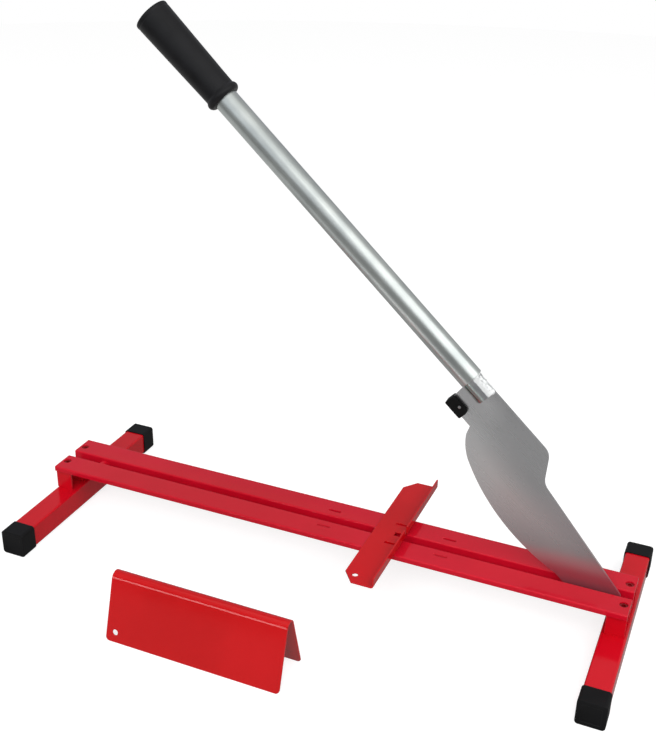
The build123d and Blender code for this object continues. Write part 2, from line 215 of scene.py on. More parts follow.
def buildEdgeThin():
    group, come, go = newGroup("edgeThin", [
        ("Vector", "NodeSocketVector", None),
        ("Radius", "NodeSocketFloat", 0.0008),
        ("Break", "NodeSocketFloat", 60.0),
    ], ["Mask"])
    rounded = group.nodes.new("ShaderNodeBevel")
    rounded.samples = effects["edgeSamples"]
    sharp = group.nodes.new("ShaderNodeNewGeometry")
    dot = group.nodes.new("ShaderNodeVectorMath")
    dot.operation = "DOT_PRODUCT"
    away = group.nodes.new("ShaderNodeMapRange")
    flakes = group.nodes.new("ShaderNodeTexNoise")
    patchy = group.nodes.new("ShaderNodeMapRange")
    for scale, key in ((away, "edgeTurn"), (patchy, "edgePatches")):
        scale.inputs["From Min"].default_value, scale.inputs["From Max"].default_value = effects[key]
    product = group.nodes.new("ShaderNodeMath")
    product.operation = "MULTIPLY"
    group.links.new(come.outputs["Radius"], rounded.inputs["Radius"])
    group.links.new(rounded.outputs["Normal"], dot.inputs[0])
    group.links.new(sharp.outputs["Normal"], dot.inputs[1])
    group.links.new(dot.outputs["Value"], away.inputs["Value"])
    group.links.new(come.outputs["Vector"], flakes.inputs["Vector"])
    group.links.new(come.outputs["Break"], flakes.inputs["Scale"])
    group.links.new(flakes.outputs["Fac"], patchy.inputs["Value"])
    group.links.new(away.outputs["Result"], product.inputs[0])
    group.links.new(patchy.outputs["Result"], product.inputs[1])
    group.links.new(product.outputs["Value"], go.inputs["Mask"])
    return group


cloud = buildCloud()
pebble = buildPebble()
edgeThin = buildEdgeThin()

# the same red coat, toned apart per part to how each shows lit: painted light and shade; the rails' bluer tone is
# a painted sheen
redCoats = {
    "railCoat": {"deep": (0.515, 0.003, 0.015), "bright": (0.575, 0.0045, 0.020)},
    "legCoat": {"deep": (0.53, 0.002, 0.008), "bright": (0.585, 0.003, 0.012)},
    "sheetCoat": {"deep": (0.49, 0.0016, 0.0028), "bright": (0.545, 0.0026, 0.0045)},
    # a darker copy of the red coat: painted shade on the screw heads down in their recesses
    "screwCoat": {"deep": (0.14, 0.0015, 0.003), "bright": (0.20, 0.002, 0.004)},
}
coatLook = {
    "clouds": 7.0,  # scale of the uneven red, and shine that of the gloss
    "edge": (0.66, 0.045, 0.055),  # the coat is thinner and paler on sheet edges
    "edgeWidth": 0.9,
    "edgeBreak": 45.0,
    "edgeShare": 0.5,
    "shine": 26.0,
    "roughness": (0.10, 0.16),
    "peel": 0.002,  # depth of the orange peel
    "peelScale": 420.0,
    "peelCoarse": 0.35,
    "mirror": 0.31,
}


def makeRedCoat(name):
    look = coatLook
    reds = redCoats[name]
    material, tree, shader = newMaterial(name)
    space = objectSpace(tree)
    tone = placeGroup(tree, cloud, space, Scale=look["clouds"])
    edges = placeGroup(tree, edgeThin, space, Radius=look["edgeWidth"] * mm, Break=look["edgeBreak"])
    body = mixColour(tree, tone.outputs["Mask"], reds["deep"], reds["bright"])
    worn = spread(tree, edges.outputs["Mask"], 0.0, look["edgeShare"])
    tree.links.new(mixColour(tree, worn, body, look["edge"]), shader.inputs["Base Color"])
    shine = placeGroup(tree, cloud, space, Scale=look["shine"], Low=0.3, High=0.7)
    tree.links.new(spread(tree, shine.outputs["Mask"], *look["roughness"]), shader.inputs["Roughness"])
    peel = placeGroup(tree, pebble, space, Scale=look["peelScale"], Coarse=look["peelCoarse"])
    tree.links.new(bumpFrom(tree, peel.outputs["Height"], look["peel"]), shader.inputs["Normal"])
    shader.inputs["Specular IOR Level"].default_value = look["mirror"]
    return material


zincLook = {
    "bright": (0.645, 0.678, 0.655),
    "dull": (0.504, 0.542, 0.532),
    "roughness": (0.28, 0.36),
    "lines": 0.004,
}
zincGrain = {"lines": 260.0, "patches": 22.0, "streak": 0.22}  # two scales, and how dull the lines are


def makeZinc(name, turn, stretch, look):
    material, tree, shader = newMaterial(name)
    along = objectSpace(tree, turn=turn, stretch=stretch, centre=pivotPoint)
    lines = placeGroup(tree, cloud, along, Scale=zincGrain["lines"], Low=0.3, High=0.7)
    patches = placeGroup(tree, cloud, objectSpace(tree), Scale=zincGrain["patches"], Low=0.3, High=0.75)
    body = mixColour(tree, patches.outputs["Mask"], look["bright"], look["dull"])
    streaked = spread(tree, lines.outputs["Mask"], 0.0, zincGrain["streak"])
    tree.links.new(mixColour(tree, streaked, body, look["dull"]), shader.inputs["Base Color"])
    tree.links.new(spread(tree, lines.outputs["Mask"], *look["roughness"]), shader.inputs["Roughness"])
    shader.inputs["Metallic"].default_value = 1.0
    tree.links.new(bumpFrom(tree, lines.outputs["Mask"], look["lines"]), shader.inputs["Normal"])
    return material


# Stub: bright metal below, darker and greenish towards its underside, zinc spray over the welded upper side, with
# a painted highlight towards its top
stubLook = {
    "bright": (0.70, 0.71, 0.72),
    "dull": (0.58, 0.59, 0.61),
    "patches": 60.0,
    "stain": (0.38, 0.48, 0.44),        # darker and greenish towards its underside
    "spray": (0.60, 0.61, 0.61),
    "sprayThin": (0.50, 0.51, 0.51),
    # lighter spray towards the top: a painted highlight
    "sprayThick": (0.76, 0.77, 0.77),
    "fleck": (0.40, 0.41, 0.41),
    "flecks": 300.0,
    "sprayWay": (0.563, 0.553, 0.609),  # up and back, square to the tube
    "stainEdge": (-10.0, -3.0),         # this and the next two in millimetres above the axis
    "sprayEdge": (-0.6, 0.6),
    "thickEdge": (1.5, 8.0),
    "ragged": 420.0,
    "raggedReach": 1.2,
    "raggedDepth": 0.01,
    "roughness": (0.25, 0.58),          # metal, spray
}


def makeStubMetal():
    look = stubLook
    material, tree, shader = newMaterial("zincStub")
    space = objectSpace(tree, centre=axisPlace.translation)
    patches = placeGroup(tree, cloud, space, Scale=look["patches"], Low=0.3, High=0.7)
    ragged = placeGroup(tree, cloud, space, Scale=look["ragged"], Low=0.2, High=0.8)
    above = alongWay(tree, space, look["sprayWay"])
    height = addUp(tree, above, ragged.outputs["Mask"], look["raggedReach"] * mm)
    mask = spread(tree, height, 0.0, 1.0, *[edge * mm for edge in look["sprayEdge"]])
    metal = mixColour(tree, patches.outputs["Mask"], look["bright"], look["dull"])
    # darker and greenish towards the underside
    under = spread(tree, height, 1.0, 0.0, *[edge * mm for edge in look["stainEdge"]])
    undersideTinted = mixColour(tree, under, metal, look["stain"])
    spray = mixColour(tree, ragged.outputs["Mask"], look["spray"], look["sprayThin"])
    # painted highlight: the spray is lighter towards the top, flecked with dark specks
    thick = spread(tree, height, 0.0, 1.0, *[edge * mm for edge in look["thickEdge"]])
    flecked = placeGroup(tree, cloud, space, Scale=look["flecks"], Low=0.46, High=0.62)
    litTopFlecked = mixColour(tree, flecked.outputs["Mask"], look["sprayThick"], look["fleck"])
    sprayWithLitTop = mixColour(tree, thick, spray, litTopFlecked)
    tree.links.new(mixColour(tree, mask, undersideTinted, sprayWithLitTop), shader.inputs["Base Color"])
    tree.links.new(spread(tree, mask, *look["roughness"]), shader.inputs["Roughness"])
    tree.links.new(spread(tree, mask, 1.0, 0.0), shader.inputs["Metallic"])
    tree.links.new(bumpFrom(tree, ragged.outputs["Mask"], look["raggedDepth"]), shader.inputs["Normal"])
    return material


bladeLook = {  # its widths and heights are in metres
    "pale": (0.62, 0.62, 0.62),
    "grey": (0.43, 0.43, 0.435),
    "across": (0.008, 0.082),  # painted reflection: pale at the cutting side, grey to the spine
    "acrossWaver": 0.012,
    "patches": 16.0,
    "heel": (0.35, 0.04, 0.065),  # painted red reflection of the rails on the blade's low part
    "heelHeight": (0.107, 0.074),
    "heelShare": 0.95,
    "heelRough": 0.32,
    "heelMetal": 0.6,
    "haze": (0.19, 0.12),  # the painted red reflection fading out higher up
    "hazeShare": 0.2,
    "roughness": (0.272, 0.280),
    "grain": 0.00012,
    "grainScale": 420.0,
    "grainShare": 0.025,
    "grainStretch": (14, 1, 1),
}
paintedBladeReflections = [  # painted reflections on the steel: full share at the place, gone at the reach
    {  # painted pink reflection of the red stand by the cutting edge
        "tone": (0.63, 0.525, 0.515), "share": 0.7,
        "place": (-150.0, 0.0, 8.0), "reach": (85.0, 50.0, 45.0),
    },
    {  # painted shade: a darker reflection by the waist
        "tone": (0.385, 0.38, 0.385), "share": 0.9,
        "place": (-150.0, 0.0, 42.0), "reach": (95.0, 50.0, 36.0),
    },
    {  # painted highlight: a brighter reflection beside the stub
        "tone": (0.60, 0.60, 0.605), "share": 0.8,
        "place": (-256.0, 0.0, 62.0), "reach": (34.0, 50.0, 22.0),
    },
]


def addPaintedReflection(tree, body, patch):
    fade = tree.nodes.new("ShaderNodeTexGradient")
    fade.gradient_type = "SPHERICAL"
    centre = leverPlace @ (Vector(patch["place"]) * mm)
    stretch = [size * mm for size in patch["reach"]]
    spot = objectSpace(tree, turn=leverTurn, stretch=stretch, centre=centre)
    tree.links.new(spot, fade.inputs["Vector"])
    return mixColour(tree, spread(tree, fade.outputs["Fac"], 0.0, patch["share"]), body, patch["tone"])


def makeBladeSteel():
    look = bladeLook
    material, tree, shader = newMaterial("bladeSteel")
    up = (0, 0, 1)
    along = objectSpace(tree, turn=leverTurn, stretch=look["grainStretch"], centre=pivotPoint)
    grain = placeGroup(tree, cloud, along, Scale=look["grainScale"], Low=0.25, High=0.75)
    patches = placeGroup(tree, cloud, objectSpace(tree), Scale=look["patches"], Low=0.25, High=0.75)
    # painted reflection gradient across the plate, pale by the cutting side, grey to the spine
    width = alongWay(tree, objectSpace(tree, turn=leverTurn, centre=pivotPoint), up)
    side = addUp(tree, width, patches.outputs["Mask"], look["acrossWaver"])
    body = mixColour(tree, spread(tree, side, 0.0, 1.0, *look["across"]), look["pale"], look["grey"])
    # painted reflections laid over the steel's tone
    for patch in paintedBladeReflections:
        body = addPaintedReflection(tree, body, patch)
    # painted red reflection of the rails over the blade's low part, fading out higher up
    height = alongWay(tree, objectSpace(tree), up)
    low = spread(tree, height, 0.0, 1.0, *look["heelHeight"])
    haze = spread(tree, height, 0.0, look["hazeShare"], *look["haze"])
    fadingRedReflection = mixColour(tree, haze, body, look["heel"])
    rubbedEdgeAndRedReflection = mixColour(tree, spread(tree, low, 0.0, look["heelShare"]), fadingRedReflection, look["heel"])
    lined = spread(tree, grain.outputs["Mask"], 0.0, look["grainShare"])
    tree.links.new(mixColour(tree, lined, rubbedEdgeAndRedReflection, look["grey"]), shader.inputs["Base Color"])
    rough = spread(tree, grain.outputs["Mask"], *look["roughness"])
    tree.links.new(addUp(tree, rough, low, look["heelRough"]), shader.inputs["Roughness"])
    tree.links.new(spread(tree, low, 1.0, look["heelMetal"]), shader.inputs["Metallic"])
    tree.links.new(bumpFrom(tree, grain.outputs["Mask"], look["grain"]), shader.inputs["Normal"])
    return material


groundLook = {
    "bright": (0.62, 0.62, 0.62),
    "dull": (0.45, 0.45, 0.46),
    "roughness": (0.22, 0.38),
    "marks": 600.0,
    "stretch": (1, 1, 25),  # the wheel's marks run across the edge
    "depth": 0.006,
}


def makeGroundEdge():
    look = groundLook
    material, tree, shader = newMaterial("groundEdge")
    across = objectSpace(tree, turn=leverTurn, stretch=look["stretch"], centre=pivotPoint)
    marks = placeGroup(tree, cloud, across, Scale=look["marks"], Low=0.25, High=0.75)
    tint = mixColour(tree, marks.outputs["Mask"], look["bright"], look["dull"])
    tree.links.new(tint, shader.inputs["Base Color"])
    tree.links.new(spread(tree, marks.outputs["Mask"], *look["roughness"]), shader.inputs["Roughness"])
    shader.inputs["Metallic"].default_value = 1.0
    tree.links.new(bumpFrom(tree, marks.outputs["Mask"], look["depth"]), shader.inputs["Normal"])
    return material


moulding = {"edgeWidth": 1.0, "edgeBreak": 70.0, "coarse": 0.5}  # alike on all black pieces


def makeBlack(name, look):
    material, tree, shader = newMaterial(name)
    space = objectSpace(tree)
    tone = placeGroup(tree, cloud, space, Scale=look["clouds"], Low=0.3, High=0.7)
    edges = placeGroup(
        tree, edgeThin, space, Radius=moulding["edgeWidth"] * mm, Break=moulding["edgeBreak"],
    )
    body = mixColour(tree, tone.outputs["Mask"], look["dark"], look["light"])
    rubbedEdgeAndRedReflection = spread(tree, edges.outputs["Mask"], 0.0, look["rub"])
    tree.links.new(mixColour(tree, rubbedEdgeAndRedReflection, body, look["edge"]), shader.inputs["Base Color"])
    tree.links.new(spread(tree, tone.outputs["Mask"], *look["roughness"]), shader.inputs["Roughness"])
    skin = placeGroup(tree, pebble, space, Scale=look["grain"], Coarse=moulding["coarse"])
    tree.links.new(bumpFrom(tree, skin.outputs["Height"], look["depth"]), shader.inputs["Normal"])
    shader.inputs["Specular IOR Level"].default_value = look["mirror"]
    return material


capLook = {
    "dark": (0.0035, 0.0035, 0.0038), "light": (0.0055, 0.0055, 0.006), "edge": (0.025, 0.025, 0.027),
    "rub": 0.6, "clouds": 30.0, "roughness": (0.42, 0.54), "grain": 900.0, "depth": 0.02, "mirror": 0.14,
}
gripLook = {
    "dark": (0.0035, 0.0035, 0.004), "light": (0.0065, 0.0065, 0.0075), "edge": (0.012, 0.012, 0.0135),
    "rub": 0.3, "clouds": 24.0, "roughness": (0.36, 0.46), "grain": 1200.0, "depth": 0.015, "mirror": 0.22,
}
bumperLook = {
    "dark": (0.003, 0.003, 0.003), "light": (0.005, 0.005, 0.005), "edge": (0.014, 0.014, 0.014),
    "rub": 0.5, "clouds": 60.0, "roughness": (0.5, 0.65), "grain": 1500.0, "depth": 0.01, "mirror": 0.10,
}
weldLook = {
    "bright": (0.44, 0.46, 0.45), "dull": (0.26, 0.27, 0.26), "roughness": (0.52, 0.7), "lines": 0.01,
}
rivetLook = {
    "bright": (0.34, 0.34, 0.34), "dull": (0.24, 0.24, 0.24), "roughness": (0.35, 0.5), "lines": 0.004,
}
ringLook = {
    "dark": (0.22, 0.27, 0.33), "light": (0.30, 0.35, 0.42), "edge": (0.40, 0.45, 0.5),
    "rub": 0.3, "clouds": 90.0, "roughness": (0.4, 0.5), "grain": 1500.0, "depth": 0.01, "mirror": 0.5,
}

drawn = (40, 1, 1)  # lines run along the drawn tube
plain = (1, 1, 1)
coats = {name: makeRedCoat(name) for name in redCoats}
zincTube = makeZinc("zincTube", leverTurn, drawn, zincLook)
zincStub = makeStubMetal()
zincScrew = makeZinc("zincFastener", (0, 0, 0), plain, zincLook)
weldMetal = makeZinc("weldMetal", leverTurn, plain, weldLook)
rivetMetal = makeZinc("rivetMetal", leverTurn, plain, rivetLook)
bladeSteel = makeBladeSteel()
groundEdge = makeGroundEdge()
capBlack = makeBlack("capPlastic", capLook)
gripBlack = makeBlack("gripPlastic", gripLook)
bumperBlack = makeBlack("bumperRubber", bumperLook)
ringPlastic = makeBlack("lockRingPlastic", ringLook)
print("materials ready")


# Mesh helpers
cleaning = {"mergeGap": 0.001, "flatTurn": 0.05}  # millimetres, degrees


def keepPiece(bm, name, material, body, stoodFor=(), sharpAngle=35):
    mesh = bpy.data.meshes.new(name)
    bm.to_mesh(mesh)
    bm.free()
    mesh.materials.append(material)
    mesh.shade_smooth()
    mesh.set_sharp_from_angle(angle=math.radians(sharpAngle))
    piece = bpy.data.objects.new(name, mesh)
    scene.collection.objects.link(piece)
    evenNormals = piece.modifiers.new("evenNormals", "WEIGHTED_NORMAL")
    evenNormals.keep_sharp = True
    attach(piece, body)
    if stoodFor:
        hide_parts(*stoodFor)
    return piece


def camelName(node):
    first, *rest = node.split("_")
    return first + "".join(word.capitalize() for word in rest)


def soften(bm, geom, radius, segments=3, affect="EDGES"):
    bmesh.ops.bevel(
        bm, geom=geom, offset=radius * mm, offset_type="OFFSET", segments=segments,
        profile=0.5, affect=affect, clamp_overlap=False, material=-1,
    )


def placeMesh(bm, matrix):
    bmesh.ops.transform(bm, matrix=matrix, verts=bm.verts)


def mergeVerts(bm):
    bmesh.ops.remove_doubles(bm, verts=bm.verts, dist=cleaning["mergeGap"] * mm)


def closeMesh(bm):
    mergeVerts(bm)
    bmesh.ops.recalc_face_normals(bm, faces=bm.faces)


def mergedCopy(node):
    bm = bmesh.new()
    bm.from_mesh(nodes[node].data)
    mergeVerts(bm)
    flatTurn = math.radians(cleaning["flatTurn"])
    bmesh.ops.dissolve_limit(bm, angle_limit=flatTurn, verts=bm.verts, edges=bm.edges)
    return bm


def hardEdges(bm, angle=40, clearOf=(), clearance=0):
    found = []
    for edge in bm.edges:
        if len(edge.link_faces) != 2 or edge.calc_face_angle(0) < math.radians(angle):
            continue
        middle = (edge.verts[0].co + edge.verts[1].co) / 2
        if all((middle - spot).length > clearance * mm for spot in clearOf):
            found.append(edge)
    return found


# Turned shape about X, from points of (along, radius, how much of each edge its rounding takes)
def turnedShape(points, steps=96, arcSteps=5, closed=False):
    bm = bmesh.new()
    line = [bm.verts.new((along * mm, 0, radius * mm)) for along, radius, reach in points]
    pairs = list(zip(line, line[1:]))
    if closed:
        pairs.append((line[-1], line[0]))
    for pair in pairs:
        bm.edges.new(pair)
    for corner, (along, radius, reach) in zip(line, points):
        if reach:
            soften(bm, [corner], reach, arcSteps, affect="VERTICES")
    bmesh.ops.spin(
        bm, geom=bm.verts[:] + bm.edges[:], cent=(0, 0, 0), axis=(1, 0, 0),
        angle=math.tau, steps=steps, use_merge=True,
    )
    closeMesh(bm)
    return bm


# Rings joined one after another along Z: "round", or "hex" whose corners drop away by its slope
def stackedRings(rings, sides=48, closed=False):
    bm = bmesh.new()
    loops = []
    for form, radius, height, *slope in rings:
        ring = bmesh.ops.create_circle(bm, cap_ends=False, radius=radius * mm, segments=sides)["verts"]
        for vert in ring:
            if form == "hex":
                turn = math.atan2(vert.co.y, vert.co.x)
                vert.co.xy *= 1 / math.cos((turn + math.pi / 6) % (math.pi / 3) - math.pi / 6)
            drop = slope[0] * (vert.co.xy.length - radius * mm) if slope else 0
            vert.co.z = height * mm + drop
        loops.append(list(dict.fromkeys(edge for vert in ring for edge in vert.link_edges)))
    pairs = list(zip(loops, loops[1:]))
    if closed:
        pairs.append((loops[-1], loops[0]))
    for low, high in pairs:
        bmesh.ops.bridge_loops(bm, edges=low + high)
    if not closed:
        for loop in (loops[0], loops[-1]):
            bmesh.ops.edgeloop_fill(bm, edges=loop)
    closeMesh(bm)
    return bm


thread = {"depth": 0.54, "root": 0.15, "crest": 0.6, "runOut": 0.1}  # shares of the pitch


def threadRings(radius, start, end, pitch):
    count = round((end - start) / pitch)
    inner = radius - thread["depth"] * pitch
    rings = []
    for turn in range(count):
        at = start + turn * pitch
        rings.append(("round", inner, at + thread["root"] * pitch))
        rings.append(("round", radius, at + thread["crest"] * pitch))
    return rings + [("round", inner, end - thread["runOut"] * pitch)]


def alongY(x, y, z):
    return Matrix.Translation((x, y, z)) @ Matrix.Rotation(-math.pi / 2, 4, "X")


def boxOf(node):
    low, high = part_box(node)
    return low, high, (low + high) / 2


# Sheet metal: copies of the solids with the rounded edges that a coat leaves
sheets = {
    "front_rail": (0.5, "railCoat"), "back_rail": (0.5, "railCoat"),
    "left_leg": (0.4, "legCoat"), "right_leg": (0.4, "legCoat"),
    "bracket_front_left": (0.45, "legCoat"), "bracket_front_right": (0.45, "legCoat"),
    "bracket_back_left": (0.45, "legCoat"), "bracket_back_right": (0.45, "legCoat"),
    "fence": (0.45, "sheetCoat"), "plank_support": (0.5, "sheetCoat"),
}
screwClear = {"levels": 7, "step": 2.0, "reach": 5.6}  # the rims of the screw holes stay sharp
screwNodes = [node for node in nodes if node.startswith("rail_screw")]


def coatSheets():
    screwSpots = []
    for node in screwNodes:
        high, middle = boxOf(node)[1:]
        for level in range(screwClear["levels"]):
            depth = level * screwClear["step"] * mm
            screwSpots.append(Vector((middle.x, middle.y, high.z - depth)))
    for node, (radius, coat) in sheets.items():
        bm = mergedCopy(node)
        soften(bm, hardEdges(bm, clearOf=screwSpots, clearance=screwClear["reach"]), radius)
        keepPiece(bm, camelName(node), coats[coat], bodyOf[node], [node])
    print("sheet metal coated:", len(sheets))


coatSheets()

# Foot caps: moulded shells over the leg ends
cap = {
    "wall": 1.5, "socket": 22.0,
    "corner": 4.0, "cornerSteps": 6, "rim": 1.2, "rimSteps": 4,
    "panel": 0.74, "panelSlope": 0.97, "panelDepth": 0.35,  # two shares, and how far it is sunk
}


# Largest of the faces that lie furthest out
def outerFace(bm, outward):
    def rank(face):
        return round(face.calc_center_median().y * outward, 5), face.calc_area()  # level to 0.01 mm
    return max(bm.faces, key=rank)


def pushFace(bm, face):
    pushed = bmesh.ops.extrude_face_region(bm, geom=[face])
    return [item for item in pushed["geom"] if isinstance(item, bmesh.types.BMVert)]


def makeFootCap(node):
    low, high, middle = boxOf(node)
    outward = 1 if middle.y > 0 else -1
    depthY = high.y - low.y
    bm = bmesh.new()
    bmesh.ops.create_cube(bm, size=1)
    placeMesh(bm, Matrix.Translation(middle) @ Matrix.Diagonal((*(high - low), 1)))
    sides = [edge for edge in bm.edges if abs(edge.verts[0].co.y - edge.verts[1].co.y) > depthY / 2]
    soften(bm, sides, cap["corner"], cap["cornerSteps"])
    endFace = outerFace(bm, outward)
    mouth = outerFace(bm, -outward)
    bmesh.ops.inset_region(bm, faces=[mouth], thickness=cap["wall"] * mm, use_even_offset=True)
    inner = pushFace(bm, mouth)
    bmesh.ops.translate(bm, verts=inner, vec=(0, outward * cap["socket"] * mm, 0))
    bmesh.ops.delete(bm, geom=[mouth], context="FACES_ONLY")
    soften(bm, list(endFace.edges), cap["rim"], cap["rimSteps"])
    for share, depth in ((cap["panel"], 0), (cap["panelSlope"], cap["panelDepth"])):
        endFace = outerFace(bm, outward)
        centre = endFace.calc_center_median()
        shrink = Matrix.Translation(centre) @ Matrix.Diagonal((share, 1, share, 1))
        ring = pushFace(bm, endFace)
        bmesh.ops.transform(bm, matrix=shrink @ Matrix.Translation(-centre), verts=ring)
        bmesh.ops.translate(bm, verts=ring, vec=(0, -outward * depth * mm, 0))
        bmesh.ops.delete(bm, geom=[endFace], context="FACES_ONLY")
    closeMesh(bm)
    keepPiece(bm, camelName(node), capBlack, bodyOf[node], [node])


for capNode in [node for node in nodes if node.startswith("foot_cap")]:
    makeFootCap(capNode)
print("foot caps moulded")

# Blade: flat satin plate with a ground bevel on its back
blade = {"edgeRound": 0.18, "bevelSlope": (0.85, 0.985), "sharpAngle": 14}  # slope: its normal's Y


def makeBlade():
    bm = mergedCopy("blade")
    steep, flat = blade["bevelSlope"]
    for face in bm.faces:
        if steep < face.normal.y < flat:
            face.material_index = 1
    soften(bm, hardEdges(bm), blade["edgeRound"], segments=2)
    piece = keepPiece(
        bm, "bladePlate", bladeSteel, "lever", ["blade"], sharpAngle=blade["sharpAngle"],
    )
    piece.data.materials.append(groundEdge)


makeBlade()
print("blade finished")

# Lever tube, with the stub that carries the blade
tube = {"near": -287.4, "length": 530.6, "outer": 14.0, "inner": 12.0, "edge": 0.5}
stub = {"near": -260.7, "outer": 12.0, "edge": 0.35}
weld = {
    "ripple": 0.22, "pitch": 1.9, "valleyRound": 0.2, "crestRound": 0.5, "tip": 0.8,
    "rough": 0.55, "blot": 2.3,  # height and width of the unevenness
    "offset": 0.35, "sunk": 0.6, "sharpAngle": 60,
}
seams = {  # the first two run from the arm's end to the stub's, the last one up the stub's end
    "weldLow": {"radius": 1.5, "start": 1.5, "end": -0.5},
    "weldTop": {"radius": 1.35, "start": 0.5, "end": 0.5},
    "weldEnd": {"radius": 1.7, "ahead": 0.4, "foot": 2.0},
}


def makeLeverTube():
    far = tube["near"] - tube["length"]
    bm = turnedShape([
        (far, tube["outer"], tube["edge"]), (tube["near"], tube["outer"], tube["edge"]),
        (tube["near"], tube["inner"], tube["edge"]), (far, tube["inner"], tube["edge"]),
    ], closed=True)
    placeMesh(bm, axisPlace)
    keepPiece(bm, "leverTube", zincTube, "lever", ["lever_tube"])


def makeStub():
    bm = mergedCopy("stub_tube")
    soften(bm, hardEdges(bm), stub["edge"], segments=2)
    keepPiece(bm, "stubTube", zincStub, "lever", ["stub_tube"])


# Rippled beads: under the stub, over its top seam and where it ends on the blade
def makeWelds():
    low = lever["axisZ"] - stub["outer"] - weld["offset"]
    top = lever["axisZ"] + stub["outer"] - weld["sunk"]
    for side, name in ((-1, "Front"), (1, "Back")):
        beside = side * (lever["bladeHalf"] + weld["offset"])
        for seam, height, metal in (("weldLow", low, weldMetal), ("weldTop", top, zincStub)):
            size = seams[seam]
            start = Vector((lever["armEnd"] + size["start"], beside, height))
            end = Vector((stub["near"] + size["end"], beside, height))
            makeBead(seam + name, start, end, size["radius"], metal)
        size = seams["weldEnd"]
        ahead = stub["near"] + size["ahead"]
        foot = Vector((ahead, beside, lever["axisZ"] + size["foot"]))
        makeBead("weldEnd" + name, foot, Vector((ahead, beside, top)), size["radius"], zincStub)


def makeBead(name, start, end, radius, metal):
    length = (end - start).length
    count = round(length / weld["pitch"])
    points = [(-weld["tip"], 0, 0)]
    for bump in range(count):
        valley = bump * length / count
        crest = valley + 0.5 * length / count
        points.append((valley, radius - weld["ripple"], weld["valleyRound"]))
        points.append((crest, radius, weld["crestRound"]))
    points.append((length + weld["tip"], 0, 0))
    bm = turnedShape(points, steps=20, arcSteps=2)
    toward = (end - start).to_track_quat("X", "Z").to_matrix().to_4x4()
    placeMesh(bm, Matrix.Translation(start * mm) @ toward)
    for vert in bm.verts:  # uneven, as a bead laid by hand is
        swell = noise.noise(vert.co / mm / weld["blot"])
        vert.co += vert.normal * swell * weld["rough"] * mm
    placeMesh(bm, leverPlace)
    keepPiece(bm, name, metal, "lever", sharpAngle=weld["sharpAngle"])


makeLeverTube()
makeStub()
makeWelds()
print("lever tube and stub made")

# Hand grip: points from its closed end to the mouth
grip = {"end": -823.6, "sharpAngle": 50}
gripLine = [
    (0.0, 0.0, 0), (0.0, 21.2, 1.3), (3.6, 21.2, 0.6), (4.8, 20.6, 0.5), (6.0, 21.0, 0.7),
    (109.6, 18.5, 4.0), (114.2, 18.5, 1.6), (116.9, 20.5, 1.6), (120.7, 20.5, 1.7),
    (123.6, 17.9, 1.2), (123.6, 14.7, 0.4), (122.8, 14.02, 0), (5.7, 14.02, 0), (5.7, 0.0, 0),
]


def makeGrip():
    bm = turnedShape([(grip["end"] + along, radius, reach) for along, radius, reach in gripLine])
    placeMesh(bm, axisPlace)
    keepPiece(
        bm, "handGrip", gripBlack, "lever", ["hand_grip"], sharpAngle=grip["sharpAngle"],
    )


makeGrip()
print("hand grip made")

# Bumper: rubber block pushed over the arm's lower edge, held by a rivet
bumper = {"halfWidth": 7.0, "slitEdge": 0.25}
rivet = {
    "x": -270.6, "z": 35.8, "shank": 1.2, "head": 1.9,
    "rim": 0.25, "rimRound": 0.2, "dome": 0.6, "crown": 0.55, "crownRound": 0.5,
}


def makeBumper():
    bm = mergedCopy("bumper")
    soften(bm, hardEdges(bm, angle=50), bumper["slitEdge"], segments=2)
    keepPiece(bm, "bumperBlock", bumperBlack, "lever", ["bumper"])


def makeRivet():
    half, head = bumper["halfWidth"], rivet["head"]
    top = half + rivet["dome"]
    back = [
        (half, rivet["shank"], 0), (half, head, 0), (half + rivet["rim"], head, rivet["rimRound"]),
        (top, head * rivet["crown"], rivet["crownRound"]), (top, 0, 0),
    ]
    front = [(-along, radius, reach) for along, radius, reach in reversed(back)]
    bm = turnedShape(front + back, steps=32, arcSteps=3)
    toY = Matrix.Rotation(math.pi / 2, 4, "Z")
    placeMesh(bm, leverPlace @ Matrix.Translation((rivet["x"] * mm, 0, rivet["z"] * mm)) @ toY)
    keepPiece(bm, "bumperRivet", rivetMetal, "lever", ["bumper_rivet"])


makeBumper()
makeRivet()
print("bumper and rivet made")

# Bolts, nuts, washers, spacers, sleeve and screws
forge = {  # what they share
    "flat": 0.93,  # radius of a hexagon's round end face, as a share of its apothem
    "play": 0.05,  # between a thread and its nut
    "soft": 0.3,   # rounding of washers, spacers and sleeve
    "sharpAngle": 28,
}
chamferSlope = math.tan(math.radians(30))
bolts = {
    "pivot_bolt": {"shank": 4.0, "apothem": 6.5, "head": 5.3, "pitch": 1.25, "threadLength": 12.0},
    "tie_bolt": {"shank": 3.0, "apothem": 5.0, "head": 4.0, "pitch": 1.0, "threadLength": 9.0},
}
boltEnds = {"chamfer": 0.25, "washerFace": 0.35, "tip": 0.8, "tipShare": 0.72}
nuts = {
    "pivot_nut": {"bore": 4.0, "apothem": 6.5, "mouth": 0.4, "chamfer": 0.25, "collar": 1.6},
    "tie_nut": {"bore": 3.0, "apothem": 5.0, "mouth": 0.4, "chamfer": 0.25, "collar": 0},
}
railNut = {"bore": 2.5, "apothem": 4.0, "mouth": 0.3, "chamfer": 0.2}
lock = {  # collar and plastic ring of the pivot nut: steps inward, and down from its top
    "foot": 0.5, "footLift": 0.1, "side": 0.6, "sideDrop": 0.4, "lip": 1.0, "inside": 1.5,
    "ring": 1.55, "ringDrop": 0.25, "ringSlope": 0.3, "ringMouth": 0.5,
}
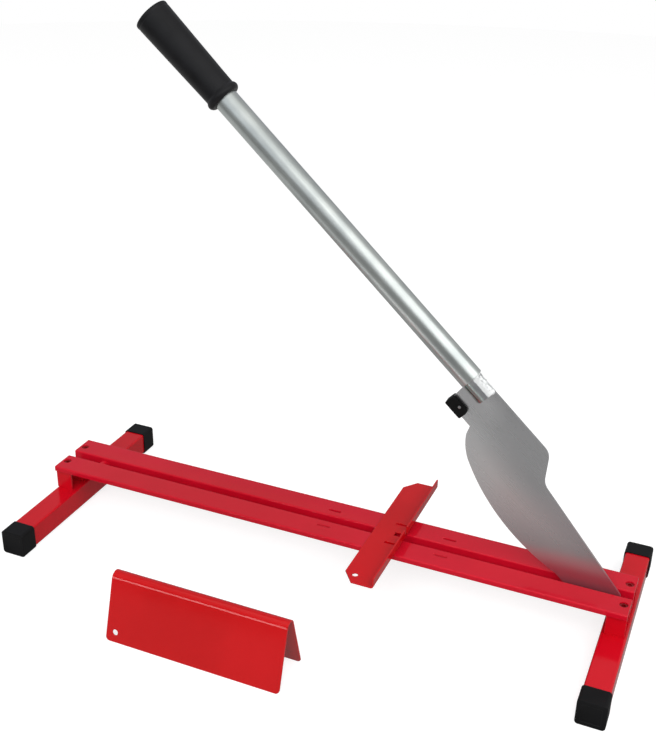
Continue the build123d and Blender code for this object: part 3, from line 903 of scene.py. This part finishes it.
rounds = {
    "pivot_washer_front": (4.0, zincScrew, "zinc_fastener"),
    "pivot_washer_back": (4.0, zincScrew, "zinc_fastener"),
    "blade_spacer_front": (4.0, capBlack, "black_plastic"),
    "blade_spacer_back": (4.0, capBlack, "black_plastic"),
    "tie_sleeve": (3.0, coats["railCoat"], "red_paint"),
}
screw = {
    "shank": 2.5, "head": 5.2, "headRim": 0.25, "headEdge": 0.2, "pitch": 0.8,
    "socket": 2.5, "socketDepth": 2.4, "socketEdge": 0.15, "socketFlare": 1.25,
    "threadStart": 0.6, "tip": 0.5, "tipShare": 0.7,
}


def keepFastener(bm, node, material=zincScrew):
    name = camelName(node)
    keepPiece(bm, name, material, bodyOf[node], [node], sharpAngle=forge["sharpAngle"])


def boltPieces():
    for node, size in bolts.items():
        low, high, middle = boxOf(node)
        length = (high.y - low.y) / mm
        head, shank, apothem = size["head"], size["shank"], size["apothem"]
        flat = apothem * forge["flat"]
        face = head - boltEnds["washerFace"]
        rings = [
            ("round", flat, 0), ("hex", apothem, boltEnds["chamfer"], chamferSlope),
            ("hex", apothem, face), ("round", flat, face), ("round", flat, head), ("round", shank, head),
        ]
        start, end = length - size["threadLength"], length - boltEnds["tip"]
        rings += threadRings(shank, start, end, size["pitch"])
        rings.append(("round", shank * boltEnds["tipShare"], length))
        bm = stackedRings(rings)
        placeMesh(bm, alongY(middle.x, low.y, middle.z))
        keepFastener(bm, node)


def nutRings(size, height):
    apothem, bore = size["apothem"], size["bore"] + forge["play"]
    flat = apothem * forge["flat"]
    mouth, chamfer = size["mouth"], size["chamfer"]
    start = [
        ("round", bore, mouth), ("round", bore + mouth, 0), ("round", flat, 0),
        ("hex", apothem, chamfer, chamferSlope), ("hex", apothem, height - chamfer, -chamferSlope),
        ("round", flat, height),
    ]
    return start, [("round", bore + mouth, height), ("round", bore, height - mouth)]


def collarRings(flat, height, top):
    return [
        ("round", flat - lock["foot"], height + lock["footLift"]),
        ("round", flat - lock["side"], top - lock["sideDrop"]), ("round", flat - lock["lip"], top),
        ("round", flat - lock["inside"], top), ("round", flat - lock["inside"], height),
    ]


def lockRings(flat, bore, height, top):
    outer, level = flat - lock["ring"], top - lock["ringDrop"]
    return [
        ("round", bore, height), ("round", outer, height), ("round", outer, level),
        ("round", bore + lock["ringSlope"], level), ("round", bore, top - lock["ringMouth"]),
    ]


def nutPieces():
    for node, size in nuts.items():
        low, high, middle = boxOf(node)
        height = (high.y - low.y) / mm - size["collar"]
        top = height + size["collar"]
        flat = size["apothem"] * forge["flat"]
        start, end = nutRings(size, height)
        rim = collarRings(flat, height, top) if size["collar"] else []
        bm = stackedRings(start + rim + end, closed=True)
        placeMesh(bm, alongY(middle.x, low.y, middle.z))
        keepFastener(bm, node)
        if size["collar"]:
            ring = stackedRings(lockRings(flat, size["bore"] + forge["play"], height, top), closed=True)
            placeMesh(ring, alongY(middle.x, low.y, middle.z))
            keepPiece(ring, camelName(node) + "Ring", ringPlastic, bodyOf[node])


def ringPieces():
    for node, (bore, material, slotName) in rounds.items():
        low, high, middle = boxOf(node)
        outer = (high.x - low.x) / 2 / mm
        thick = (high.y - low.y) / mm
        soft = min(forge["soft"], thick / 4)
        bm = stackedRings([
            ("round", bore + soft, 0), ("round", outer - soft, 0), ("round", outer, soft),
            ("round", outer, thick - soft), ("round", outer - soft, thick),
            ("round", bore + soft, thick), ("round", bore, thick - soft), ("round", bore, soft),
        ], sides=64, closed=True)
        placeMesh(bm, alongY(middle.x, low.y, middle.z))
        keepPiece(bm, camelName(node), material, bodyOf[node], [node], sharpAngle=50)


def screwPieces():
    for node in screwNodes:
        low, high, middle = boxOf(node)
        length = (high.z - low.z) / mm
        head, shank, socket = screw["head"], screw["shank"], screw["socket"]
        cone = head - shank
        rings = [
            ("hex", socket, screw["socketDepth"]), ("hex", socket, screw["socketEdge"]),
            ("round", socket * screw["socketFlare"], 0), ("round", head - screw["headRim"], 0),
            ("round", head, screw["headEdge"]), ("round", shank, cone + screw["headEdge"]),
        ]
        rings += threadRings(shank, cone + screw["threadStart"], length - screw["tip"], screw["pitch"])
        rings.append(("round", shank * screw["tipShare"], length))
        bm = stackedRings(rings)
        flip = Matrix.Rotation(math.pi, 4, "X")
        placeMesh(bm, Matrix.Translation((middle.x, middle.y, high.z)) @ flip)
        # the screw heads take the darker red: painted shade in their recesses
        keepFastener(bm, node, coats["screwCoat"])


def railNutPieces():
    for node in [name for name in nodes if name.startswith("rail_nut")]:
        low, high, middle = boxOf(node)
        start, end = nutRings(railNut, (high.z - low.z) / mm)
        bm = stackedRings(start + end, closed=True)
        placeMesh(bm, Matrix.Translation((middle.x, middle.y, low.z)))
        keepFastener(bm, node)


boltPieces()
nutPieces()
ringPieces()
screwPieces()
railNutPieces()
print("fasteners made")

# Camera, as the photograph was taken
photo = {
    "width": 656, "height": 733, "focal": 1102.31,  # pixels
    "yaw": 22.727, "pitch": 25.874, "roll": 1.141,  # degrees
    "place": (450.05, -1081.55, 845.67),
    "sensor": 36.0,
}


def placeCamera():
    yaw, pitch, roll = (math.radians(photo[key]) for key in ("yaw", "pitch", "roll"))
    ahead = Vector((-math.sin(yaw) * math.cos(pitch), math.cos(yaw) * math.cos(pitch), -math.sin(pitch)))
    level = Vector((math.cos(yaw), math.sin(yaw), 0))
    upright = level.cross(ahead)
    right = math.cos(roll) * level + math.sin(roll) * upright
    up = math.cos(roll) * upright - math.sin(roll) * level
    data = bpy.data.cameras.new("photoCamera")
    data.sensor_width = photo["sensor"]
    data.lens = photo["sensor"] * photo["focal"] / max(photo["width"], photo["height"])
    camera = bpy.data.objects.new("photoCamera", data)
    scene.collection.objects.link(camera)
    turn = Matrix((right, up, -ahead)).transposed()
    camera.matrix_world = Matrix.Translation(Vector(photo["place"]) * mm) @ turn.to_4x4()
    scene.camera = camera


placeCamera()

# Studio: white floor and sky, two large soft lamps, and toned paper that only the reflections see
studio = {"floorRadius": 4.5, "floorWhite": 0.42, "floorLift": 0.75, "skyDiffuse": 0.5, "sides": 64}
lamps = {
    "softBoxRight": {"place": (1.6, -0.8, 1.85), "size": (1.8, 1.6), "power": 24.0},
    "softBoxFront": {"place": (0.3, -3.0, 2.7), "size": (3.0, 2.2), "power": 88.0},
}
lampAim = (0.0, 0.0, 0.2)
wall = {"radius": 2.6, "height": 5.0, "lift": 0.001}
wallTones = [  # by share of a turn, from the left round by the front, the right and the back
    (0.0, (0.45, 0.46, 0.48)), (0.14, (0.60, 0.61, 0.64)), (0.20, (0.83, 0.87, 0.92)),
    (0.36, (0.88, 0.88, 0.89)), (0.50, (0.80, 0.80, 0.80)), (0.60, (0.55, 0.55, 0.55)),
    (0.70, (0.48, 0.48, 0.49)), (0.81, (0.38, 0.39, 0.44)), (1.0, (0.45, 0.46, 0.48)),
]
papers = {  # metres; those that lie close to the part are painted reflections, standing in for what its metal and coat mirror
    "studioFlag": {
        "place": (0.0, -0.62, 0.29), "faces": (0, 1, 0), "size": (3.0, 0.58), "tone": 0.27,
    },
    "studioKeyPaper": {
        "place": (1.5, -0.55, 1.59), "faces": (-1, 0.35, 0), "size": (2.5, 1.44), "tone": 1.9,
    },
    "studioStrip": {
        "place": (-0.10, -0.295, 0.0935), "faces": (0, 1, 0), "size": (0.25, 0.026), "tone": 6.5,
    },
    "studioHood": {
        "place": (-0.11, -0.277, 0.105), "faces": (0, 0, 1), "size": (0.26, 0.04), "tone": 0.28,
    },
    # grey over the rails: the tube's lower edge mirrors it in place of the red stand, a painted reflection
    "studioOver": {
        "place": (-0.17, 0.0075, 0.095), "faces": (0, 0, 1), "size": (0.43, 0.115), "tone": 0.44,
    },
    # grey before the blade's heel: the front rail mirrors it in place of the blade, a painted reflection
    "studioHeel": {
        "place": (0.274, -0.003, 0.077), "faces": (0, -1, 0), "size": (0.168, 0.022), "tone": 0.44,
        "oneSided": True,
    },
    # near-black beside the fence lip: the rails mirror it there, a painted dark reflection that also stands in for
    # the lip's shade
    "studioLip": {
        "place": (0.1068, 0.015, 0.0755), "faces": (1, 0, 0), "size": (0.12, 0.021), "tone": 0.03,
        "oneSided": True,
    },
    "studioFloorPaper": {
        "place": (0.0, 0.0, 0.0005), "faces": (0, 0, 1), "size": (5.0, 5.0), "tone": 0.57,
    },
    # dim floor under the stand as its metal and coat mirror it: a painted shadow
    "studioUnder": {
        "place": (0.05, 0.1, 0.001), "faces": (0, 0, 1), "size": (1.3, 0.55), "tone": 0.30,
    },
}


# One for what the camera and mirrors see, nought for light that falls on the part
def seesWhite(tree):
    path = tree.nodes.new("ShaderNodeLightPath")
    first = tree.nodes.new("ShaderNodeMath")
    both = tree.nodes.new("ShaderNodeMath")
    for node in (first, both):
        node.operation = "MAXIMUM"
    tree.links.new(path.outputs["Is Camera Ray"], first.inputs[0])
    tree.links.new(path.outputs["Is Glossy Ray"], first.inputs[1])
    tree.links.new(first.outputs[0], both.inputs[0])
    tree.links.new(path.outputs["Is Transmission Ray"], both.inputs[1])
    return both.outputs[0]


def makeSky():
    world = bpy.data.worlds.new("studioSky")
    world.use_nodes = True
    scene.world = world
    tree = world.node_tree
    background = tree.nodes["Background"]
    background.inputs["Color"].default_value = (1, 1, 1, 1)
    strength = spread(tree, seesWhite(tree), studio["skyDiffuse"], 1.0)
    tree.links.new(strength, background.inputs["Strength"])


def stagePiece(bm, name, material):
    mesh = bpy.data.meshes.new(name)
    bm.to_mesh(mesh)
    bm.free()
    mesh.materials.append(material)
    piece = bpy.data.objects.new(name, mesh)
    scene.collection.objects.link(piece)
    return piece


def makeFloor():
    material, tree, shader = newMaterial("floorPaper")
    white = studio["floorWhite"]
    shader.inputs["Base Color"].default_value = (white, white, white, 1)
    shader.inputs["Roughness"].default_value = 1.0
    shader.inputs["Specular IOR Level"].default_value = 0.0
    shader.inputs["Emission Color"].default_value = (1, 1, 1, 1)
    lift = spread(tree, seesWhite(tree), 0.0, studio["floorLift"])
    tree.links.new(lift, shader.inputs["Emission Strength"])
    bm = bmesh.new()
    bmesh.ops.create_circle(bm, cap_ends=True, radius=studio["floorRadius"], segments=studio["sides"])
    stagePiece(bm, "studioFloor", material)


def dimPaper(name, grey=0.0, oneSided=False):
    material, tree, shader = newMaterial(name)
    shader.inputs["Base Color"].default_value = (0, 0, 0, 1)
    shader.inputs["Specular IOR Level"].default_value = 0.0
    shader.inputs["Emission Color"].default_value = (grey, grey, grey, 1)
    shader.inputs["Emission Strength"].default_value = 1.0
    if oneSided:
        side = tree.nodes.new("ShaderNodeNewGeometry")
        front = spread(tree, side.outputs["Backfacing"], 1.0, 0.0)
        tree.links.new(front, shader.inputs["Alpha"])
        tree.links.new(front, shader.inputs["Emission Strength"])
    return material


def tonedPaper(name):
    material = dimPaper(name)
    tree = material.node_tree
    shader = tree.nodes["Principled BSDF"]
    turn = tree.nodes.new("ShaderNodeTexGradient")
    turn.gradient_type = "RADIAL"
    ramp = tree.nodes.new("ShaderNodeValToRGB")
    stops = ramp.color_ramp.elements
    for place, tone in wallTones[1:-1]:
        stops.new(place).color = (*tone, 1)
    stops[0].color = (*wallTones[0][1], 1)
    stops[-1].color = (*wallTones[-1][1], 1)
    tree.links.new(objectSpace(tree), turn.inputs["Vector"])
    tree.links.new(turn.outputs["Fac"], ramp.inputs["Fac"])
    tree.links.new(ramp.outputs["Color"], shader.inputs["Emission Color"])
    return material


# Seen by mirrored rays alone: no shadow, no light on the part, not in the picture
def mirroredOnly(piece):
    piece.visible_camera = False
    piece.visible_diffuse = False
    piece.visible_shadow = False
    piece.visible_transmission = False


def makeWall():
    bm = bmesh.new()
    radius, height = wall["radius"], wall["height"]
    bmesh.ops.create_cone(
        bm, cap_ends=False, segments=studio["sides"], radius1=radius, radius2=radius, depth=height,
    )
    bmesh.ops.translate(bm, verts=bm.verts, vec=(0, 0, height / 2 + wall["lift"]))
    mirroredOnly(stagePiece(bm, "studioWall", tonedPaper("wallPaper")))


def makePapers():
    for name, paper in papers.items():
        bm = bmesh.new()
        bmesh.ops.create_grid(bm, x_segments=1, y_segments=1, size=0.5)
        turn = Vector(paper["faces"]).to_track_quat("Z", "Y").to_matrix().to_4x4()
        placeMesh(bm, Matrix.Translation(paper["place"]) @ turn @ Matrix.Diagonal((*paper["size"], 1, 1)))
        material = dimPaper(name, paper["tone"], paper.get("oneSided", False))
        mirroredOnly(stagePiece(bm, name, material))


def makeLamps():
    for name, light in lamps.items():
        data = bpy.data.lights.new(name, "AREA")
        data.shape = "RECTANGLE"
        data.size, data.size_y = light["size"]
        data.energy = light["power"]
        lamp = bpy.data.objects.new(name, data)
        scene.collection.objects.link(lamp)
        place = Vector(light["place"])
        turn = (Vector(lampAim) - place).to_track_quat("-Z", "Y").to_matrix().to_4x4()
        lamp.matrix_world = Matrix.Translation(place) @ turn
        lamp.visible_camera = False
        lamp.visible_glossy = False  # the key paper is what the metal mirrors


makeSky()
makeFloor()
makeWall()
makePapers()
makeLamps()
scene.view_settings.view_transform = "Standard"
print("studio set up")
